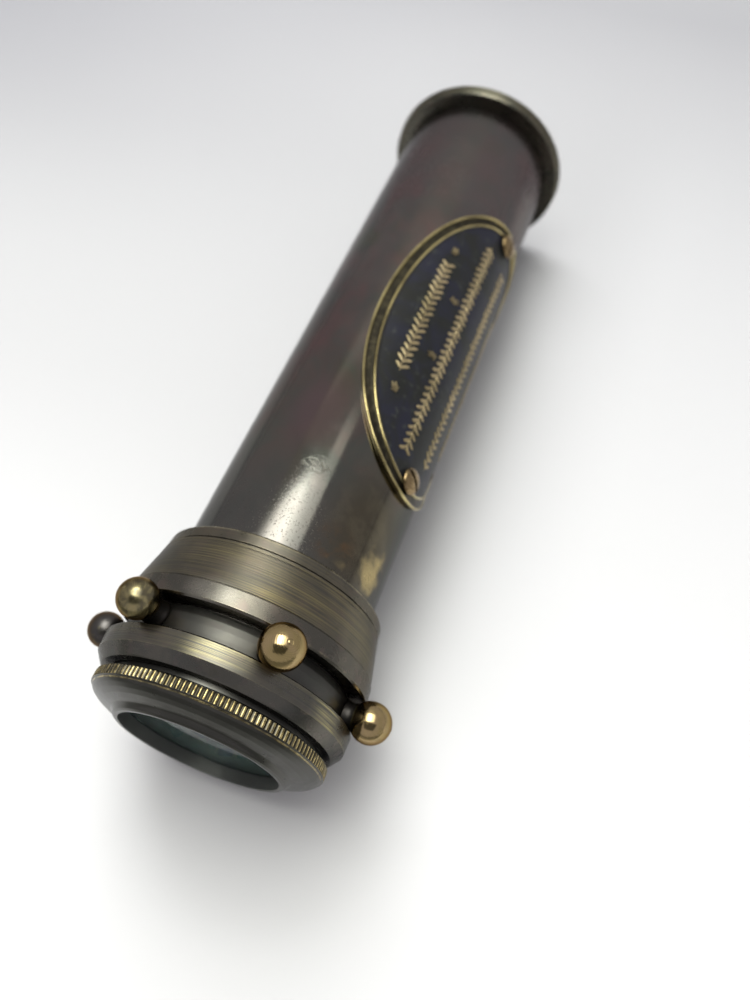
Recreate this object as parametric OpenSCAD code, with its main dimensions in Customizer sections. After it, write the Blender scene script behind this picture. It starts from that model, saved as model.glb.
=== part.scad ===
// Hand-turned brass kaleidoscope with a turning object drum.
// The tube axis runs along +Y: the object end (window) is at y = 0 and the
// eye end at +Y. +Z is up when the scope lies on two of its ball pegs.
// All dimensions are in millimetres.

/* [Tube] */
// Outside diameter of the body tube
tube_d = 35; // [34:0.5:36]
// Wall thickness of the body tube
tube_wall = 1.0; // [0.8:0.1:1.2]
// Distance from the window lip to the eye-end face of the tube
tube_end_y = 152; // [140:1:170]

/* [Eye cap] */
// Diameter of the eye-cap flange
flange_d = 41.2; // [40:0.1:43]
// Thickness of the eye-cap flange
flange_t = 2.9; // [2.4:0.1:3.6]
// Diameter of the eye hole
eye_hole_d = 10; // [6:0.5:12]

/* [Collar] */
// Diameter of the fixed collar at its wide front rim
collar_d = 44.3; // [44:0.1:44.4]
// Diameter of the collar at the small end of its taper
collar_back_d = 40.2; // [39:0.1:40.6]

/* [Drum] */
// Diameter of the turned band in front of the peg groove
drum_d = 43.3; // [43:0.1:43.6]
// Diameter of the peg groove floor
groove_d = 39.0; // [38.6:0.1:39.2]

/* [Ball pegs] */
// Number of ball pegs round the drum
peg_n = 6; // [3:1:8]
// Diameter of each ball
ball_d = 6.7; // [6:0.1:6.8]
// Distance from the axis to each ball's centre
ball_r = 24.1; // [24.1:0.1:25]
// Diameter of the neck between ball and drum
neck_d = 4.2; // [3:0.1:4.4]

/* [Bezel] */
// Diameter over the knurl of the screwed bezel
knurl_d = 40.2; // [39.8:0.1:40.6]
// Number of knurl teeth
knurl_n = 148; // [90:2:150]
// Depth of the knurl
knurl_depth = 0.32; // [0.2:0.02:0.4]
// Diameter of the window opening
window_d = 27.6; // [26:0.1:27.8]

/* [Mirrors] */
// Width of each mirror strip
mirror_w = 23; // [20:0.5:23]
// Thickness of each mirror strip
mirror_t = 2; // [1.5:0.1:2]

/* [Nameplate] */
// Length of the oval plate along the tube
plate_l = 71.6; // [68:0.2:73]
// Width of the oval plate measured round the tube
plate_w = 41.2; // [34:0.2:44]
// Angle of the plate's centre, from the top towards +X
plate_angle = 64.4; // [0:0.2:90]
// Distance from the window lip to the plate's centre
plate_y = 86.8; // [80:0.2:92]

/* [Object cell] */
// Number of beads in the outer row of the pile
bead_row = 7; // [3:1:7]

/* [Hidden] */
$fn = 96;
eps = 0.01;

tube_r = tube_d / 2;
tube_ri = tube_r - tube_wall;
tube_y0 = 23;          // front end of the tube, inside the collar
peg_y = 13.55;         // plane of the ball pegs
groove_y0 = 11.1;      // front wall of the peg groove
groove_y1 = 15.9;      // rear face of the drum at the groove
collar_y0 = 16.2;      // front face of the collar
collar_y1 = 30;        // rear face of the collar
journal_r = 17.0;      // journal the drum turns on
run = 0.05;            // radial running clearance
skirt_r = 18.9;        // outside of the drum's rear skirt
thread_r = 18.3;       // front bore of the drum
spigot_r = 18.2;       // screwed spigot of the bezel
cell_r = 15.5;         // inside radius of the object cell
win_y0 = 2.35;         // front face of the window glass
win_t = 1.5;
rear_y0 = 8.8;         // front face of the rear glass
rear_t = 1.45;
mirror_y0 = 13.1;
mirror_y1 = 141.5;
mirror_in = mirror_w / (2 * sqrt(3));   // inradius of the mirror triangle
plate_r0 = tube_r + 0.04;
plate_r1 = plate_r0 + 0.6;              // top of the plate's field
plate_r2 = plate_r0 + 0.86;             // top of the raised border lines
screw_dy = 32.2;                        // screws, either side of the plate's centre

// ---- helpers ----
// lays a shape built along +Z down along +Y
module along_y() rotate([-90, 0, 0]) children();
// solid of revolution about the Y axis from [radius, y] points
module turned(pts) along_y() rotate_extrude() polygon(pts);
// plain ring about the Y axis
module ring_y(ro, ri, y0, y1)
    along_y() difference() {
        translate([0, 0, y0]) cylinder(r = ro, h = y1 - y0);
        translate([0, 0, y0 - 1]) cylinder(r = ri, h = y1 - y0 + 2);
    }
module disc_y(r, y0, y1)
    along_y() translate([0, 0, y0]) cylinder(r = r, h = y1 - y0);
// puts a shape built along +Z at a radius, turned to an angle from the top towards +X
module at_angle(a, y) translate([0, y, 0]) rotate([0, a, 0]) children();

// ---- tube and eye end ----
module body_tube() color([0.20, 0.16, 0.13]) difference() {
    ring_y(tube_r, tube_ri, tube_y0, tube_end_y);
    for (s = [-1, 1]) at_angle(plate_angle, plate_y + s * screw_dy)
        translate([0, 0, tube_ri - 1]) cylinder(r = 1.0, h = tube_wall + 2, $fn = 32);
}

module eye_cap() color([0.36, 0.32, 0.18]) {
    fr = flange_d / 2;
    y0 = tube_end_y + 0.02;
    y1 = y0 + flange_t;
    er = eye_hole_d / 2;
    turned([[er, y0 - 1.6], [er, y1 - 1.9], [9.0, y1 - 0.15], [9.3, y1],
            [fr - 0.5, y1], [fr - 0.15, y1 - 0.15], [fr, y1 - 0.5],
            [fr - 0.2, y0 + 0.4], [fr - 0.3, y0 + 0.12], [fr - 0.55, y0],
            [tube_ri - 0.03, y0], [tube_ri - 0.03, y0 - 8],
            [12.2, y0 - 8], [12.2, y0 - 1.6]]);
}

module eye_glass() color([0.80, 0.88, 0.86, 0.35])
    disc_y(12.1, tube_end_y - 3.2, tube_end_y - 1.62);

// split spring ring that holds the eye glass in the cap
module eye_glass_ring() color([0.55, 0.48, 0.26]) difference() {
    ring_y(12.15, 11.0, tube_end_y - 4.3, tube_end_y - 3.25);
    translate([-1, tube_end_y - 6, 0]) cube([2, 6, 14]);
}

// ---- mirror prism and its packing ----
module mirror_strip(a) rotate([0, a, 0])
    translate([-mirror_w / 2, mirror_y0, mirror_in + 0.01])
        cube([mirror_w, mirror_y1 - mirror_y0, mirror_t]);

module mirror_lower() color([0.75, 0.78, 0.80]) mirror_strip(180);
module mirror_left() color([0.75, 0.78, 0.80]) mirror_strip(-60);
module mirror_right() color([0.75, 0.78, 0.80]) mirror_strip(60);

// three foam segments between the mirror backs and the card sleeve
module foam_packing() color([0.16, 0.16, 0.17])
    for (a = [180, 60, -60]) rotate([0, a, 0]) intersection() {
        disc_y(15.1, mirror_y0 + 26, mirror_y1 - 2);
        translate([-16, 0, mirror_in + mirror_t + 0.06]) cube([32, 160, 16]);
    }

module card_sleeve() color([0.12, 0.11, 0.10])
    ring_y(tube_ri - 0.1, 15.2, 36.2, tube_end_y - 8.3);

// black card disc with a triangular opening, in front of the prism
module prism_mask() color([0.05, 0.05, 0.05]) difference() {
    disc_y(14.6, 12.25, 12.95);
    along_y() rotate([0, 0, -90])
        translate([0, 0, 11]) cylinder(r = 2 * mirror_in - 0.6, h = 3, $fn = 3);
}

// black card washer behind the prism at the eye end
module eye_mask() color([0.05, 0.05, 0.05])
    ring_y(15.1, 6, mirror_y1 + 0.2, mirror_y1 + 1.0);

// ---- bearing and collar ----
// pressed into the tube; the drum turns on its front end and the peg tips
// run in its groove
module bearing_sleeve() color([0.62, 0.52, 0.28])
    turned([[13.9, 11.4], [journal_r - 0.3, 11.4], [journal_r, 11.7],
            [journal_r, peg_y - 1.35], [15.9, peg_y - 1.35],
            [15.9, peg_y + 1.35], [journal_r, peg_y + 1.35],
            [journal_r, tube_y0 - 0.02], [tube_ri - 0.03, tube_y0 - 0.02],
            [tube_ri - 0.03, 36], [14.7, 36], [14.7, 12.2], [13.9, 12.2]]);

module collar() color([0.34, 0.31, 0.22]) {
    cr = collar_d / 2;
    wr = cr - 0.3;          // rear edge of the smooth front band
    br = collar_back_d / 2;
    turned([[skirt_r + 0.15, collar_y0], [cr - 0.35, collar_y0],
            [cr - 0.1, collar_y0 + 0.12], [cr, collar_y0 + 0.35],
            [wr, 19.45], [wr - 0.12, 19.6], [wr - 0.06, 19.75],
            [br + 0.04, 27.55], [br - 0.05, 27.7],
            [br - 0.30, 27.75], [br - 0.30, 27.95], [br - 0.16, 28.05],
            [br - 0.34, collar_y1 - 0.25], [br - 0.44, collar_y1 - 0.06], [br - 0.65, collar_y1],
            [tube_r + 0.02, collar_y1], [tube_r + 0.02, 22.5],
            [skirt_r + 0.15, 22.5]]);
}

// ---- nameplate ----
// oval of half-length a and half-arc b, seen square-on as it lies on radius r
function oval(a, b, r, n = 72) = [for (i = [0:n - 1]) let (t = 360 * i / n)
    [r * sin(b * sin(t) / r * 180 / PI), a * cos(t)]];
// curved slab between two radii whose outline is the oval, less an inner oval
module oval_slab(a, b, ai, bi, r0, r1)
    at_angle(plate_angle, plate_y) intersection() {
        translate([0, -plate_y, 0]) ring_y(r1, r0, plate_y - 50, plate_y + 50);
        translate([0, 0, 2]) linear_extrude(height = 22)
            difference() {
                polygon(oval(a, b, r1));
                if (ai > 0) polygon(oval(ai, bi, r1));
            }
    }

module nameplate() color([0.10, 0.10, 0.13]) {
    a = plate_l / 2;
    b = plate_w / 2;
    difference() {
        union() {
            oval_slab(a, b, 0, 0, plate_r0, plate_r1);
            oval_slab(a, b, a - 0.9, b - 0.9, plate_r0 + 0.3, plate_r2);
            oval_slab(a - 2.0, b - 2.2, a - 2.7, b - 2.9, plate_r0 + 0.3, plate_r2 - 0.06);
        }
        for (s = [-1, 1]) at_angle(plate_angle, plate_y + s * screw_dy)
            translate([0, 0, tube_r - 2]) cylinder(r = 1.1, h = 6, $fn = 32);
    }
}

module nameplate_screw() difference() {
    union() {
        translate([0, 0, tube_ri + 0.06]) cylinder(r = 0.93, h = plate_r2 - tube_ri + 0.2, $fn = 32);
        intersection() {
            translate([0, 0, plate_r2 + 0.04]) cylinder(r = 2.5, h = 3, $fn = 48);
            translate([0, 0, plate_r2 + 1.34 - 3.1]) sphere(r = 3.1, $fn = 64);
        }
    }
    translate([-4, -0.32, plate_r2 + 0.74]) cube([8, 0.64, 2]);
}
module nameplate_screws() color([0.62, 0.45, 0.28])
    for (s = [-1, 1]) at_angle(plate_angle, plate_y + s * screw_dy)
        rotate([0, 0, s < 0 ? 58 : 20]) nameplate_screw();

// ---- turning drum ----
module drum() color([0.32, 0.30, 0.22]) difference() {
    dr = drum_d / 2;
    gr = groove_d / 2;
    turned([[thread_r, 6.2], [20.05, 6.2], [20.2, 6.35], [dr - 0.25, 7.9],
            [dr - 0.15, 8.05], [dr, groove_y0 - 0.2], [dr - 0.15, groove_y0],
            [gr + 0.35, groove_y0], [gr + 0.1, groove_y0 + 0.1],
            [gr, groove_y0 + 0.35], [gr, groove_y1 - 0.1], [gr - 0.1, groove_y1],
            [skirt_r, groove_y1], [skirt_r, 22.2], [journal_r + run, 22.2],
            [journal_r + run, 11.2], [15.6, 11.2], [15.6, 10.3],
            [thread_r, 10.3]]);
    for (k = [0:peg_n - 1]) at_angle(30 + k * 360 / peg_n, peg_y)
        translate([0, 0, 16]) cylinder(r = 1.3, h = 4, $fn = 32);
}

// ball, neck and threaded tail in one turned piece
module ball_peg() {
    gr = groove_d / 2;
    union() {
        translate([0, 0, ball_r]) sphere(r = ball_d / 2, $fn = 64);
        translate([0, 0, gr + 0.05]) cylinder(r = neck_d / 2, h = ball_r - gr - 1.4, $fn = 48);
        translate([0, 0, 16.2]) cylinder(r = 1.25, h = 6, $fn = 32);
    }
}
module ball_pegs() color([0.66, 0.54, 0.30])
    for (k = [0:peg_n - 1]) at_angle(30 + k * 360 / peg_n, peg_y) ball_peg();

module rear_glass() color([0.82, 0.90, 0.88, 0.3])
    disc_y(thread_r - 0.15, rear_y0, rear_y0 + rear_t);

// ---- screwed bezel with its window ----
module window_glass() color([0.10, 0.22, 0.20, 0.5])
    disc_y(16.7, win_y0, win_y0 + win_t);

module cell_spacer() color([0.50, 0.44, 0.26])
    ring_y(16.7, cell_r, win_y0 + win_t + 0.05, rear_y0 - 0.05);

function knurl_pts(ro, depth, n) = [for (i = [0:2 * n - 1]) let (a = 180 * i / n, r = i % 2 == 0 ? ro : ro - depth)
    [r * cos(a), r * sin(a)]];

module knurled_bezel() color([0.38, 0.35, 0.24]) {
    kr = knurl_d / 2;
    wr = window_d / 2;
    union() {
        turned([[wr, 0], [14.5, 0], [14.8, 0.08], [15.08, 0.3],
                [15.18, 0.6], [15.25, 0.8], [15.5, 0.95], [15.9, 1.05],
                [16.8, 1.25], [17.8, 1.55], [18.6, 1.9], [19.3, 2.3],
                [kr - 0.42, 2.75], [kr - 0.36, 3.0], [kr - 0.36, 5.0],
                [kr - 0.6, 5.15],
                [spigot_r, 5.15], [spigot_r, 8.5], [spigot_r - 0.2, 8.7],
                [16.9, 8.7], [16.9, win_y0 - 0.05], [wr, win_y0 - 0.05]]);
        along_y() translate([0, 0, 2.95]) difference() {
            linear_extrude(height = 2.05) polygon(knurl_pts(kr, knurl_depth, knurl_n));
            translate([0, 0, -1]) cylinder(r = kr - 1.2, h = 5);
        }
    }
}

// ---- loose glass in the object cell, lying in the bottom of the cell ----
// piece k of row j: [distance from the axis, angle from the bottom, y]
function bead_at(j, k) =
    j == 0 ? [13.7, (k - (bead_row - 1) / 2) * 13.2, 6.3 + 0.8 * ((k * 5) % 3 - 1)] :
    j == 1 ? [10.55, (k - (bead_row - 2) / 2) * 17.2, 6.3 + 0.8 * ((k * 7) % 3 - 1)] :
             [7.45, (k - 1) * 24.5, 6.3 + 0.8 * ((k + 2) % 3 - 1)];
// all piece positions, outer row first
BEADS = concat([for (k = [0:bead_row - 1]) bead_at(0, k)],
               [for (k = [0:bead_row - 2]) bead_at(1, k)],
               [for (k = [0:2]) bead_at(2, k)]);
module each_bead(kind) for (i = [0:len(BEADS) - 1]) if (i % 4 == kind)
    at_angle(180 + BEADS[i][1], BEADS[i][2]) translate([0, 0, BEADS[i][0]])
        rotate([37 * i, 53 * i, 29 * i]) children();

module beads_red() color([0.75, 0.08, 0.10]) each_bead(0) sphere(r = 1.4, $fn = 48);
module chips_amber() color([0.90, 0.55, 0.10]) each_bead(1) cube([2.0, 1.5, 1.2], center = true);
module crystals_green() color([0.10, 0.60, 0.30]) each_bead(2) cylinder(r = 1.05, h = 1.7, center = true, $fn = 6);
module rods_blue() color([0.10, 0.25, 0.75]) each_bead(3) cylinder(r = 0.7, h = 2.3, center = true, $fn = 32);

body_tube();
eye_cap();
eye_glass();
eye_glass_ring();
mirror_lower();
mirror_left();
mirror_right();
foam_packing();
card_sleeve();
prism_mask();
eye_mask();
bearing_sleeve();
collar();
nameplate();
nameplate_screws();
drum();
ball_pegs();
rear_glass();
window_glass();
cell_spacer();
knurled_bezel();
beads_red();
chips_amber();
crystals_green();
rods_blue();
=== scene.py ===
"""A brass kaleidoscope lying on a pale studio floor.

The tube's axis is +Y and +Z is up. The window and its knurled bezel are at y = 0, the eye cap
is near y = 155 mm. Angles round the axis run from +Z towards +X. Shapes are in millimetres;
places and sizes inside the shaders are in metres.
"""
import bpy
import bmesh
import math
import random
from collections import namedtuple
from mathutils import Vector, Matrix


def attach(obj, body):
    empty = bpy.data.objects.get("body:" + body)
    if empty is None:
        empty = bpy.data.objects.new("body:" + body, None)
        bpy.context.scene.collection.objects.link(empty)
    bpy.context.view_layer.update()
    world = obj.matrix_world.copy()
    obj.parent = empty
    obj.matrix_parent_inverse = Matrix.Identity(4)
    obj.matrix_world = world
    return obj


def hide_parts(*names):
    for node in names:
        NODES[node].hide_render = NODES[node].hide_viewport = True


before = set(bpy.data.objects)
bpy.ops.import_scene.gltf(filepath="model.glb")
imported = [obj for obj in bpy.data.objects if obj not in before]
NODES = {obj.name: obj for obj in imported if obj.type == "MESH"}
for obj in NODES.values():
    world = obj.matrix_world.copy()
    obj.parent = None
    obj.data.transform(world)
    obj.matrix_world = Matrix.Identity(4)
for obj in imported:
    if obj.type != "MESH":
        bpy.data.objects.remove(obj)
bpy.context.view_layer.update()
MM = 0.001

# Driving dimensions
TUBE_RADIUS = 17.5
TUBE_WALL = 1.0
BORE_RADIUS = 13.80      # opening of the bezel
PEG_REACH = 24.1         # ball centres, out from the axis
PEG_Y = 13.55            # ball centres, along the axis
BALL_RADIUS = 3.35
PLATE_HALF_LENGTH = 35.8
PLATE_HALF_WIDTH = 20.6  # measured round the tube
PLATE_ANGLE = math.radians(64.4)
PLATE_Y = 86.8
PLATE_ARC_RADIUS = 18.2  # radius at which the width is measured

PATINA = (0.114, 0.112, 0.104)
BRASS = (0.42, 0.375, 0.24)


# --------------------------------------------------------------------------
# Shader helpers
# --------------------------------------------------------------------------
class Shader:
    """A material's node tree, with short calls for the nodes used here."""

    def __init__(self, name):
        self.material = bpy.data.materials.new(name)
        self.material.use_nodes = True
        self.tree = self.material.node_tree
        self.place = self.node("ShaderNodeTexCoord").outputs["Object"]

    def put(self, socket, value):
        """Link a node output to a socket, or set the socket's value."""
        if hasattr(value, "is_output"):
            self.tree.links.new(value, socket)
        elif isinstance(value, (tuple, list)):
            opaque = len(socket.default_value) == 4 and len(value) == 3
            socket.default_value = tuple(value) + ((1.0,) if opaque else ())
        else:
            socket.default_value = value

    def node(self, kind, *values, **settings):
        """A new node; values fill its inputs in order."""
        node = self.tree.nodes.new(kind)
        for name, value in settings.items():
            setattr(node, name, value)
        for socket, value in zip(node.inputs, values):
            self.put(socket, value)
        return node

    def attribute(self, name):
        return self.node("ShaderNodeAttribute", attribute_name=name).outputs["Fac"]

    def along(self, axis):
        """Object coordinate along one axis, "X" or "Y"."""
        return self.node("ShaderNodeSeparateXYZ", self.place).outputs[axis]

    def scaled(self, scale, shift=(0, 0, 0), place=None):
        place = place or self.place
        return self.node("ShaderNodeMapping", place, shift, (0, 0, 0), scale).outputs[0]

    def noise(self, scale=1.0, detail=2.0, rough=0.5, warp=0.0, place=None, output="Fac"):
        node = self.node("ShaderNodeTexNoise")
        self.put(node.inputs["Vector"], place or self.place)
        node.inputs["Scale"].default_value = scale
        node.inputs["Detail"].default_value = detail
        node.inputs["Roughness"].default_value = rough
        node.inputs["Distortion"].default_value = warp
        return node.outputs[output]

    def math(self, operation, a, b, clamp=False):
        node = self.node("ShaderNodeMath", a, b, 0.0, operation=operation, use_clamp=clamp)
        return node.outputs[0]

    def times(self, first, *others):
        for other in others:
            first = self.math("MULTIPLY", first, other)
        return first

    def plus(self, value, mask, amount):
        """Add a mask scaled by amount."""
        return self.math("ADD", value, self.times(mask, amount))

    def jitter(self, value, noise, amount):
        """Vary a value up and down by a noise centred on 0.5."""
        return self.plus(value, self.math("SUBTRACT", noise, 0.5), amount)

    def vector(self, operation, *values):
        node = self.node("ShaderNodeVectorMath", *values, operation=operation)
        return node.outputs["Value" if operation == "LENGTH" else "Vector"]

    def ramp(self, value, over, to=(0.0, 1.0), kind="SMOOTHSTEP"):
        """Map the range over to the range to, clamped."""
        node = self.node("ShaderNodeMapRange", value, *over, *to, interpolation_type=kind)
        return node.outputs[0]

    def mix(self, first, second, mask, data_type):
        node = self.node("ShaderNodeMix", mask, data_type=data_type)
        kind = "VALUE" if data_type == "FLOAT" else data_type
        ends = [x for x in node.inputs if x.type == kind and x.name in ("A", "B")]
        self.put(ends[0], first)
        self.put(ends[1], second)
        return [x for x in node.outputs if x.type == kind][0]

    def blend(self, under, over, mask, amount=None):
        """Lay one colour over another through a mask."""
        if amount is not None:
            mask = self.times(mask, amount)
        return self.mix(under, over, mask, "RGBA")

    def blend_value(self, first, second, mask):
        return self.mix(first, second, mask, "FLOAT")

    def mottle(self, under, colour, noise, over, amount=None):
        """Lay a colour where a noise rises (or falls) through the range over."""
        return self.blend(under, colour, self.ramp(noise, over), amount)

    def patch(self, centre, size, peak=1.0, place=None):
        """A soft ellipsoid: peak at its centre, 0 beyond its half sizes."""
        offset = self.vector("SUBTRACT", place or self.place, centre)
        offset = self.scaled(tuple(1.0 / x for x in size), place=offset)
        return self.ramp(self.vector("LENGTH", offset), over=(0.25, 1.0), to=(peak, 0.0))

    def bump(self, height, strength, distance, normal=None):
        node = self.node("ShaderNodeBump")
        node.inputs["Strength"].default_value = strength
        node.inputs["Distance"].default_value = distance
        self.put(node.inputs["Height"], height)
        if normal is not None:
            self.put(node.inputs["Normal"], normal)
        return node.outputs[0]

    def radial_tangent(self):
        node = self.node("ShaderNodeTangent", direction_type="RADIAL", axis="Y")
        return node.outputs[0]

    def finish(self, **inputs):
        """Set the Principled inputs and return the material."""
        sockets = self.tree.nodes["Principled BSDF"].inputs
        for name, value in inputs.items():
            self.put(sockets[name.replace("_", " ")], value)
        return self.material


def shade(colour, *gains):
    """Scale a colour by one gain, or by one gain for each channel."""
    return tuple(x * gains[i % len(gains)] for i, x in enumerate(colour))


# --------------------------------------------------------------------------
# Materials
# --------------------------------------------------------------------------
def turned_brass(name, patina=PATINA, worn=BRASS, brushed=(0.30, 0.255, 0.125), rough=0.265,
                 brushed_rough=0.50, anisotropy=0.85, wear_gain=1.0, painted_highlight=None):
    """Aged turned brass: patina, brushed bands, bright worn edges, recesses, gaps and shaded faces
    darkened by grime and painted shade, and an optional painted highlight.
    """
    s = Shader(name)
    wear, dirt, brush, matte = map(s.attribute, ("wear", "dirt", "brush", "matte"))
    large = s.noise(scale=95.0, detail=3.0, rough=0.6, warp=0.6)
    medium = s.noise(scale=420.0, detail=4.0, rough=0.62, warp=0.3)
    fine = s.noise(scale=2600.0, detail=2.0, rough=0.6)

    # lines left by the turning tool, long round the axis and fine along it
    coarse_lines = s.noise(detail=3.0, rough=0.65, place=s.scaled((30.0, 5600.0, 30.0)))
    fine_lines = s.noise(place=s.scaled((90.0, 13500.0, 90.0), shift=(3.1, 1.7, 5.3)))
    lines = s.plus(s.times(coarse_lines, 0.62), fine_lines, amount=0.38)

    # patina, with lighter and darker clouds
    colour = s.mottle(shade(patina, 0.86), shade(patina, 1.14, 1.08, 1.02), large, over=(0.36, 0.66))
    colour = s.mottle(colour, shade(patina, 1.35, 1.05, 1.12), medium,
                      over=(0.50, 0.72), amount=0.35)
    colour = s.mottle(colour, shade(patina, 0.72, 0.74, 0.60), medium,
                      over=(0.44, 0.25), amount=0.45)

    # brass showing through the brushed bands in fine rings
    bright_lines = s.ramp(lines, over=(0.44, 0.60))
    broken = s.noise(place=s.scaled((70.0, 260.0, 70.0), shift=(0.3, 0.9, 0.2)))
    broken = s.ramp(broken, over=(0.36, 0.64), to=(0.25, 1.0))
    colour = s.blend(colour, brushed, s.times(brush, bright_lines, broken), amount=0.88)
    dark_lines = s.times(brush, s.ramp(lines, over=(0.44, 0.33)))
    colour = s.blend(colour, shade(patina, 0.42), dark_lines, amount=0.6)
    # painted highlight: a lighter patch of metal that widens a band's highlight
    if painted_highlight:
        colour = s.blend(colour, shade(patina, 2.0), s.patch(*painted_highlight), amount=0.9)

    # worn edges, broken up by the noise, then grime and painted shade in the recesses, gaps and
    # shaded faces, and the matte runs
    edge = s.jitter(s.times(wear, wear_gain), medium, amount=0.9)
    edge = s.times(s.ramp(edge, over=(0.42, 1.05)), s.ramp(wear, over=(0.02, 0.2)))
    colour = s.blend(colour, worn, edge, amount=0.8)
    grime_and_shade = s.ramp(s.jitter(dirt, medium, amount=0.5), over=(0.2, 0.9))
    colour = s.blend(colour, (0.012, 0.010, 0.009), grime_and_shade, amount=0.88)
    # painted shade in part: matte runs are darkened in colour as well as roughened
    colour = s.blend(colour, (0.060, 0.060, 0.055), matte, amount=0.6)

    roughness = s.jitter(s.blend_value(rough, brushed_rough, brush), medium, amount=0.16)
    roughness = s.plus(roughness, grime_and_shade, amount=0.3)
    roughness = s.plus(roughness, matte, amount=0.16)
    roughness = s.math("SUBTRACT", roughness, s.times(edge, 0.05), clamp=True)
    relief = s.plus(s.times(lines, s.blend_value(0.25, 1.0, brush)), fine, amount=0.12)
    normal = s.bump(relief, strength=0.35, distance=0.00006)
    normal = s.bump(medium, strength=0.12, distance=0.00012, normal=normal)
    return s.finish(Base_Color=colour, Metallic=1.0, Roughness=roughness, Normal=normal,
                    Tangent=s.radial_tangent(), Anisotropic_Rotation=0.25,
                    Anisotropic=s.blend_value(0.3, anisotropy, brush),
                    Specular_Tint=(0.5, 0.5, 0.5))


def tube_patina():
    """The tube's dark patina: glossy, mottled, pitted near the collar and worn by it."""
    s = Shader("dark_brass_tube")
    wear, dirt = s.attribute("wear"), s.attribute("dirt")
    large = s.noise(scale=62.0, detail=3.0, rough=0.6, warp=0.8, place=s.scaled((1.0, 0.62, 1.0)))
    medium = s.noise(scale=240.0, detail=4.0, rough=0.62, warp=0.5)
    smudge = s.noise(scale=74.0, warp=0.35, place=s.scaled((1.0, 0.8, 1.0), shift=(2.0, 5.0, 1.0)))
    fine = s.noise(scale=1500.0, detail=3.0, rough=0.65)

    colour = s.mottle((0.108, 0.101, 0.096), (0.138, 0.112, 0.107), large, over=(0.38, 0.62))
    # noise, range it rises through, amount, colour
    clouds = (
        (smudge, (0.54, 0.70), 0.75, (0.142, 0.098, 0.100)),  # plum
        (smudge, (0.44, 0.30), 0.60, (0.108, 0.106, 0.082)),  # olive
        (medium, (0.56, 0.74), 0.35, (0.082, 0.070, 0.066)),  # dark mottle
        (fine, (0.60, 0.74), 0.30, (0.080, 0.070, 0.066)),    # dark specks
    )
    for noise, over, amount, cloud in clouds:
        colour = s.mottle(colour, cloud, noise, over, amount)

    # changes along the tube: lighter to the eye end, olive to the window end
    y = s.along("Y")
    colour = s.blend(colour, s.vector("MULTIPLY", colour, (1.19, 1.19, 1.21)),
                     s.ramp(y, over=(0.055, 0.110)))
    olive = s.mottle((0.108, 0.105, 0.094), (0.124, 0.118, 0.104), large, over=(0.36, 0.64))
    colour = s.blend(colour, olive, s.ramp(y, over=(0.090, 0.040), to=(0.0, 0.85)))
    mask = s.times(s.ramp(smudge, over=(0.46, 0.70)), s.ramp(y, over=(0.050, 0.095), to=(0.0, 0.75)))
    colour = s.blend(colour, (0.150, 0.104, 0.104), mask)

    # small red-brown and cooler clouds, as gains on the colour
    hue = s.noise(scale=165.0, detail=3.0, rough=0.6, warp=0.4,
                  place=s.scaled((1.0, 0.7, 1.0), shift=(4.0, 1.0, 2.0)))
    tint = s.mottle((1.085, 0.975, 0.955), (0.935, 1.015, 0.985), hue, over=(0.36, 0.64))
    tint = s.blend((0.965, 1.0, 1.045), tint, s.ramp(y, over=(0.038, 0.056), to=(0.2, 1.0)))
    colour = s.vector("MULTIPLY", colour, tint)
    colour = s.blend(colour, (0.148, 0.134, 0.133), s.ramp(y, over=(0.108, 0.126), to=(0.0, 0.45)))

    # a plum patch on top, and an olive zone with a rusty spot near the collar
    plum = s.patch(centre=(-0.0015, 0.0580, 0.0174), size=(0.0075, 0.0110, 0.0060))
    colour = s.blend(colour, (0.158, 0.110, 0.112), plum, amount=0.8)
    zone = s.patch(centre=(0.0135, 0.0400, 0.0110), size=(0.0110, 0.0180, 0.0110))
    olive = s.mottle((0.092, 0.078, 0.054), (0.128, 0.110, 0.074), medium, over=(0.38, 0.66))
    colour = s.blend(colour, olive, zone, amount=0.85)
    rust = s.patch(centre=(0.0105, 0.0350, 0.0140), size=(0.0050, 0.0050, 0.0050))
    rust = s.times(rust, s.ramp(medium, over=(0.40, 0.60)))
    colour = s.blend(colour, (0.150, 0.085, 0.045), rust, amount=0.6)

    # brass showing through in ragged patches; the place is warped by up to 3 mm each way
    ragged = s.noise(scale=260.0, output="Color")
    ragged = s.vector("MULTIPLY_ADD", ragged, (0.006, 0.006, 0.006), s.place)
    ragged = s.vector("SUBTRACT", ragged, (0.003, 0.003, 0.003))
    # centre, half sizes, peak
    bare_patches = (
        ((0.0163, 0.0358, 0.0066), (0.0046, 0.0062, 0.0048), 1.0),
        ((0.0118, 0.0325, 0.0128), (0.0042, 0.0026, 0.0042), 0.55),
        ((-0.0120, 0.0330, -0.0120), (0.0060, 0.0050, 0.0060), 0.7),
        ((-0.0150, 0.1490, 0.0070), (0.0060, 0.0030, 0.0060), 0.6),
        ((-0.0170, 0.0900, -0.0040), (0.0040, 0.0150, 0.0060), 0.45),
    )
    masks = [s.patch(*row, place=ragged) for row in bare_patches]
    others = s.math("ADD", masks[2], s.math("ADD", masks[3], masks[4]))
    bare_sum = s.math("ADD", s.math("ADD", masks[0], masks[1]), others, clamp=True)
    bare = s.ramp(s.jitter(bare_sum, medium, amount=1.1), over=(0.15, 1.20))
    bare = s.times(bare, s.ramp(bare_sum, over=(0.03, 0.25)))
    colour = s.blend(colour, (0.42, 0.335, 0.165), bare, amount=0.95)
    colour = s.blend(colour, BRASS, wear, amount=0.7)
    # painted reflection: a pale strip along the far tube's right edge, standing for the bright floor
    # reflected there
    painted_reflection_strip = s.patch(centre=(0.0168, 0.1320, 0.0045), size=(0.0040, 0.0130, 0.0052), place=ragged)
    colour = s.blend(colour, (0.235, 0.212, 0.198), painted_reflection_strip, amount=0.7)
    colour = s.blend(colour, (0.012, 0.010, 0.010), dirt, amount=0.8)

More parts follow.
